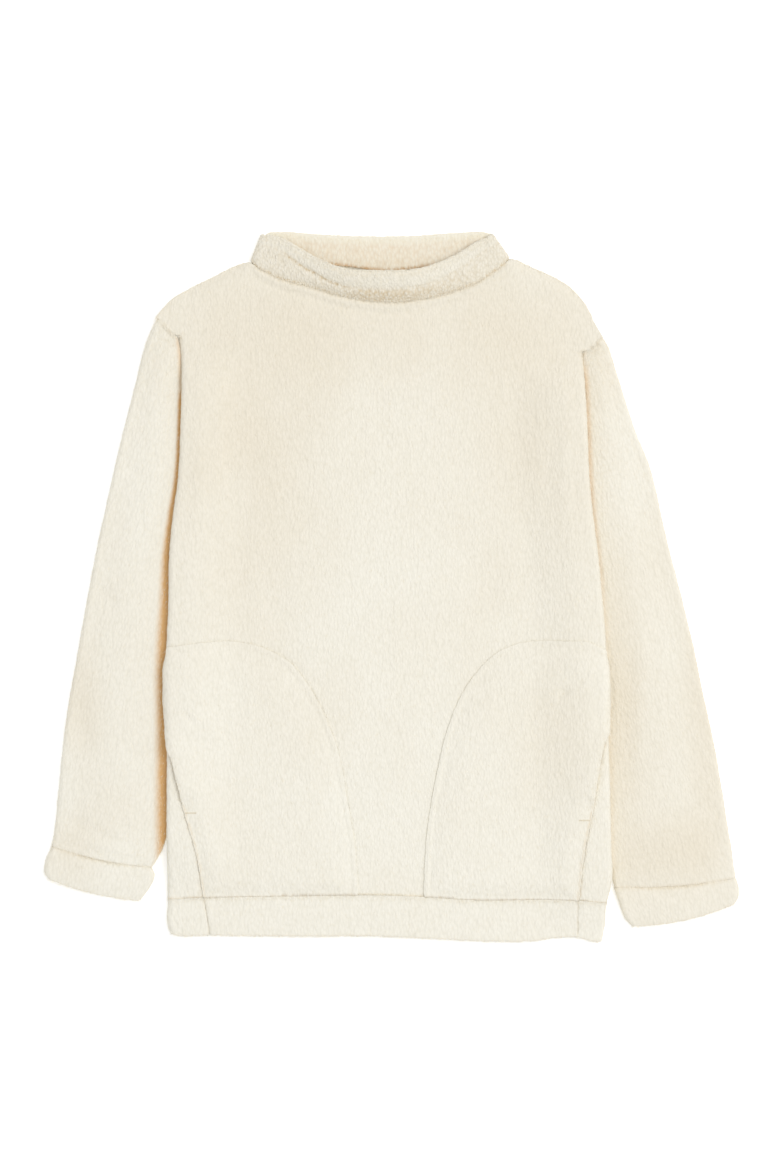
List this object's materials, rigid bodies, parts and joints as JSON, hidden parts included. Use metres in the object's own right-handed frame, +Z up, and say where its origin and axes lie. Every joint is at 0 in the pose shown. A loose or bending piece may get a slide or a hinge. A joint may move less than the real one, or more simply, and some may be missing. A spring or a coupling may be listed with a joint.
{
  "type": "funnel-neck fleece top",
  "caption": "Long-sleeved top of plush fleece with a doubled funnel collar, curved patch pockets, banded cuffs and hem, laid flat.",
  "frame": {"origin": "middle of the laid garment, on the surface it lies on", "axes": "+Z up out of the front of the garment, +Y from the hem towards the collar, +X to the right as it is seen from the front"},
  "size_m": [0.6783, 0.6929, 0.0264],
  "materials": {
    "fleece": "matte, long soft pile in warm cream",
    "fleece_inside": "matte, brushed inner side in warm sand"
  },
  "bodies": {
    "root": {"front_panel": "fleece", "back_panel": "fleece", "pocket_left": "fleece", "pocket_right": "fleece", "sleeve_left": "fleece", "sleeve_right": "fleece", "cuff_left": "fleece", "cuff_right": "fleece", "hem_front": "fleece", "hem_back": "fleece", "collar_front": "fleece", "collar_back": "fleece_inside"}
  },
  "joints": []
}
